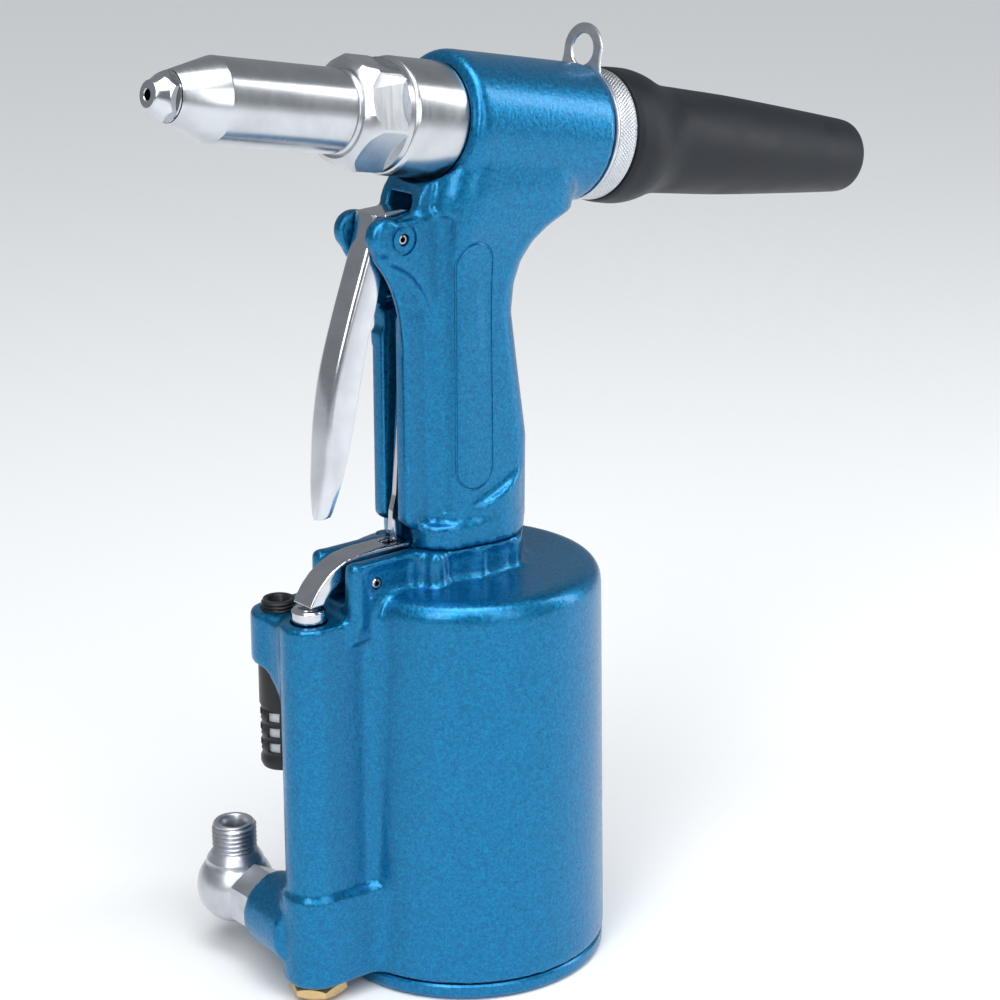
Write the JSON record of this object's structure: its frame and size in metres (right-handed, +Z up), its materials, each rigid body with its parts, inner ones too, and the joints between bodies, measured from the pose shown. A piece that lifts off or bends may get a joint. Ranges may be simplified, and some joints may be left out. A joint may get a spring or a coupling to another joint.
{
  "type": "hand riveter",
  "caption": "Air-over-oil blind rivet gun: inclined nose with drawing jaws, pistol handle with trigger, pull rod and valve lever, upright air cylinder, silencer and swivel inlet.",
  "frame": {"origin": "centre of the cylinder cap's flat underside, where the tool stands", "axes": "+Z up the air cylinder, -X towards the nose, -Y to the tool's port side with the rod and pins"},
  "size_m": [0.2546, 0.0922, 0.2708],
  "materials": {
    "hammered_blue": "hammered metallic enamel",
    "polished_steel": "polished plated steel",
    "turned_steel": "fine turned steel",
    "zinc_plate": "bright zinc plating",
    "cast_aluminium": "machined",
    "brass": "machined",
    "copper_washer": "soft copper",
    "black_rubber": "moulded",
    "seal_rubber": "moulded",
    "black_plastic": "moulded",
    "white_felt": "porous"
  },
  "bodies": {
    "tool_body": {"air_cylinder": "hammered_blue", "cylinder_cap": "hammered_blue", "cap_o_ring": "seal_rubber", "piston_bumper": "seal_rubber", "neck_gland": "turned_steel", "gland_seal": "seal_rubber", "handle_frame": "hammered_blue", "front_collar": "turned_steel", "rod_seal": "seal_rubber", "nose_housing": "turned_steel", "nosepiece": "polished_steel", "return_spring": "turned_steel", "rear_retainer": "zinc_plate", "hanger": "zinc_plate", "trigger_pin": "turned_steel", "lever_pin": "turned_steel", "valve_guide": "brass", "valve_spring": "turned_steel", "valve_plug": "brass", "silencer_body": "black_plastic", "silencer_core": "white_felt", "inlet_union": "zinc_plate", "oil_screw": "zinc_plate", "oil_screw_washer": "copper_washer"},
    "trigger": {"trigger": "polished_steel", "rod_pin": "turned_steel"},
    "pull_rod": {"pull_rod": "turned_steel"},
    "valve_lever": {"valve_lever": "polished_steel"},
    "valve": {"valve_button": "polished_steel", "valve_spool": "turned_steel", "valve_seal": "seal_rubber"},
    "air_piston": {"air_piston": "cast_aluminium", "air_piston_seal": "seal_rubber", "ram_rod": "polished_steel", "ram_nut": "zinc_plate"},
    "draw_piston": {"draw_piston": "turned_steel", "piston_seal": "seal_rubber", "mandrel_tube": "turned_steel", "jaw_case": "turned_steel", "jaw_spring": "turned_steel"},
    "jaw_1": {"jaw_1": "turned_steel"},
    "jaw_2": {"jaw_2": "turned_steel"},
    "jaw_3": {"jaw_3": "turned_steel"},
    "jaw_pusher": {"jaw_pusher": "turned_steel"},
    "mandrel_cap": {"mandrel_cap": "black_rubber"},
    "inlet_elbow": {"inlet_elbow": "zinc_plate"}
  },
  "joints": [
    {"name": "trigger_pull", "type": "hinge", "parent": "tool_body", "child": "trigger", "pos_m": [-0.028, 0, 0.218], "axis": [0, -1, 0], "range_deg": [0, 13], "stiffness_Nm_per_rad": 1, "springref_deg": -14.32},
    {"name": "rod_swing", "type": "hinge", "parent": "trigger", "child": "pull_rod", "pos_m": [-0.0184, 0, 0.2202], "axis": [0, -1, 0], "range_deg": [-13, 0]},
    {"name": "lever_rock", "type": "hinge", "parent": "tool_body", "child": "valve_lever", "pos_m": [-0.0383, 0, 0.1235], "axis": [0, -1, 0], "range_deg": [0, 8.6]},
    {"name": "valve_press", "type": "slide", "parent": "tool_body", "child": "valve", "axis": [0, 0, -1], "range_m": [0, 0.0025], "stiffness_N_per_m": 120, "springref_m": -0.003, "deforming": ["valve_spring"]},
    {"name": "air_piston_lift", "type": "slide", "parent": "tool_body", "child": "air_piston", "axis": [0, 0, 1], "range_m": [0, 0.062], "stiffness_N_per_m": 250, "springref_m": -0.02},
    {"name": "draw_stroke", "type": "slide", "parent": "tool_body", "child": "draw_piston", "axis": [0.9837, 0, -0.1798], "range_m": [0, 0.013], "deforming": ["return_spring"]},
    {"name": "jaw_1_close", "type": "slide", "parent": "draw_piston", "child": "jaw_1", "axis": [-0.9996, 0, 0.0273], "range_m": [0, 0.0012]},
    {"name": "jaw_2_close", "type": "slide", "parent": "draw_piston", "child": "jaw_2", "axis": [-0.9584, -0.1325, 0.2529], "range_m": [0, 0.0012]},
    {"name": "jaw_3_close", "type": "slide", "parent": "draw_piston", "child": "jaw_3", "axis": [-0.9584, 0.1325, 0.2529], "range_m": [0, 0.0012]},
    {"name": "pusher_follow", "type": "slide", "parent": "draw_piston", "child": "jaw_pusher", "axis": [-0.9837, 0, 0.1798], "range_m": [0, 0.0012], "deforming": ["jaw_spring"]},
    {"name": "mandrel_cap_pull", "type": "slide", "parent": "tool_body", "child": "mandrel_cap", "axis": [0.9837, 0, -0.1798], "range_m": [0, 0.03]},
    {"name": "inlet_swivel", "type": "hinge", "parent": "tool_body", "child": "inlet_elbow", "pos_m": [-0.055, 0.0397, 0.0197], "axis": [0, 1, 0], "range_deg": [-100, 100]}
  ],
  "couplings": [
    {"joint": "rod_swing", "follows": "trigger_pull", "ratio": -1},
    {"joint": "lever_rock", "follows": "trigger_pull", "ratio": 0.6615},
    {"joint": "valve_press", "follows": "trigger_pull", "m_per_rad": 0.011018},
    {"joint": "draw_stroke", "follows": "air_piston_lift", "ratio": 0.20968},
    {"joint": "jaw_1_close", "follows": "air_piston_lift", "ratio": 0.019355},
    {"joint": "jaw_2_close", "follows": "air_piston_lift", "ratio": 0.019355},
    {"joint": "jaw_3_close", "follows": "air_piston_lift", "ratio": 0.019355},
    {"joint": "pusher_follow", "follows": "air_piston_lift", "ratio": 0.019355}
  ]
}
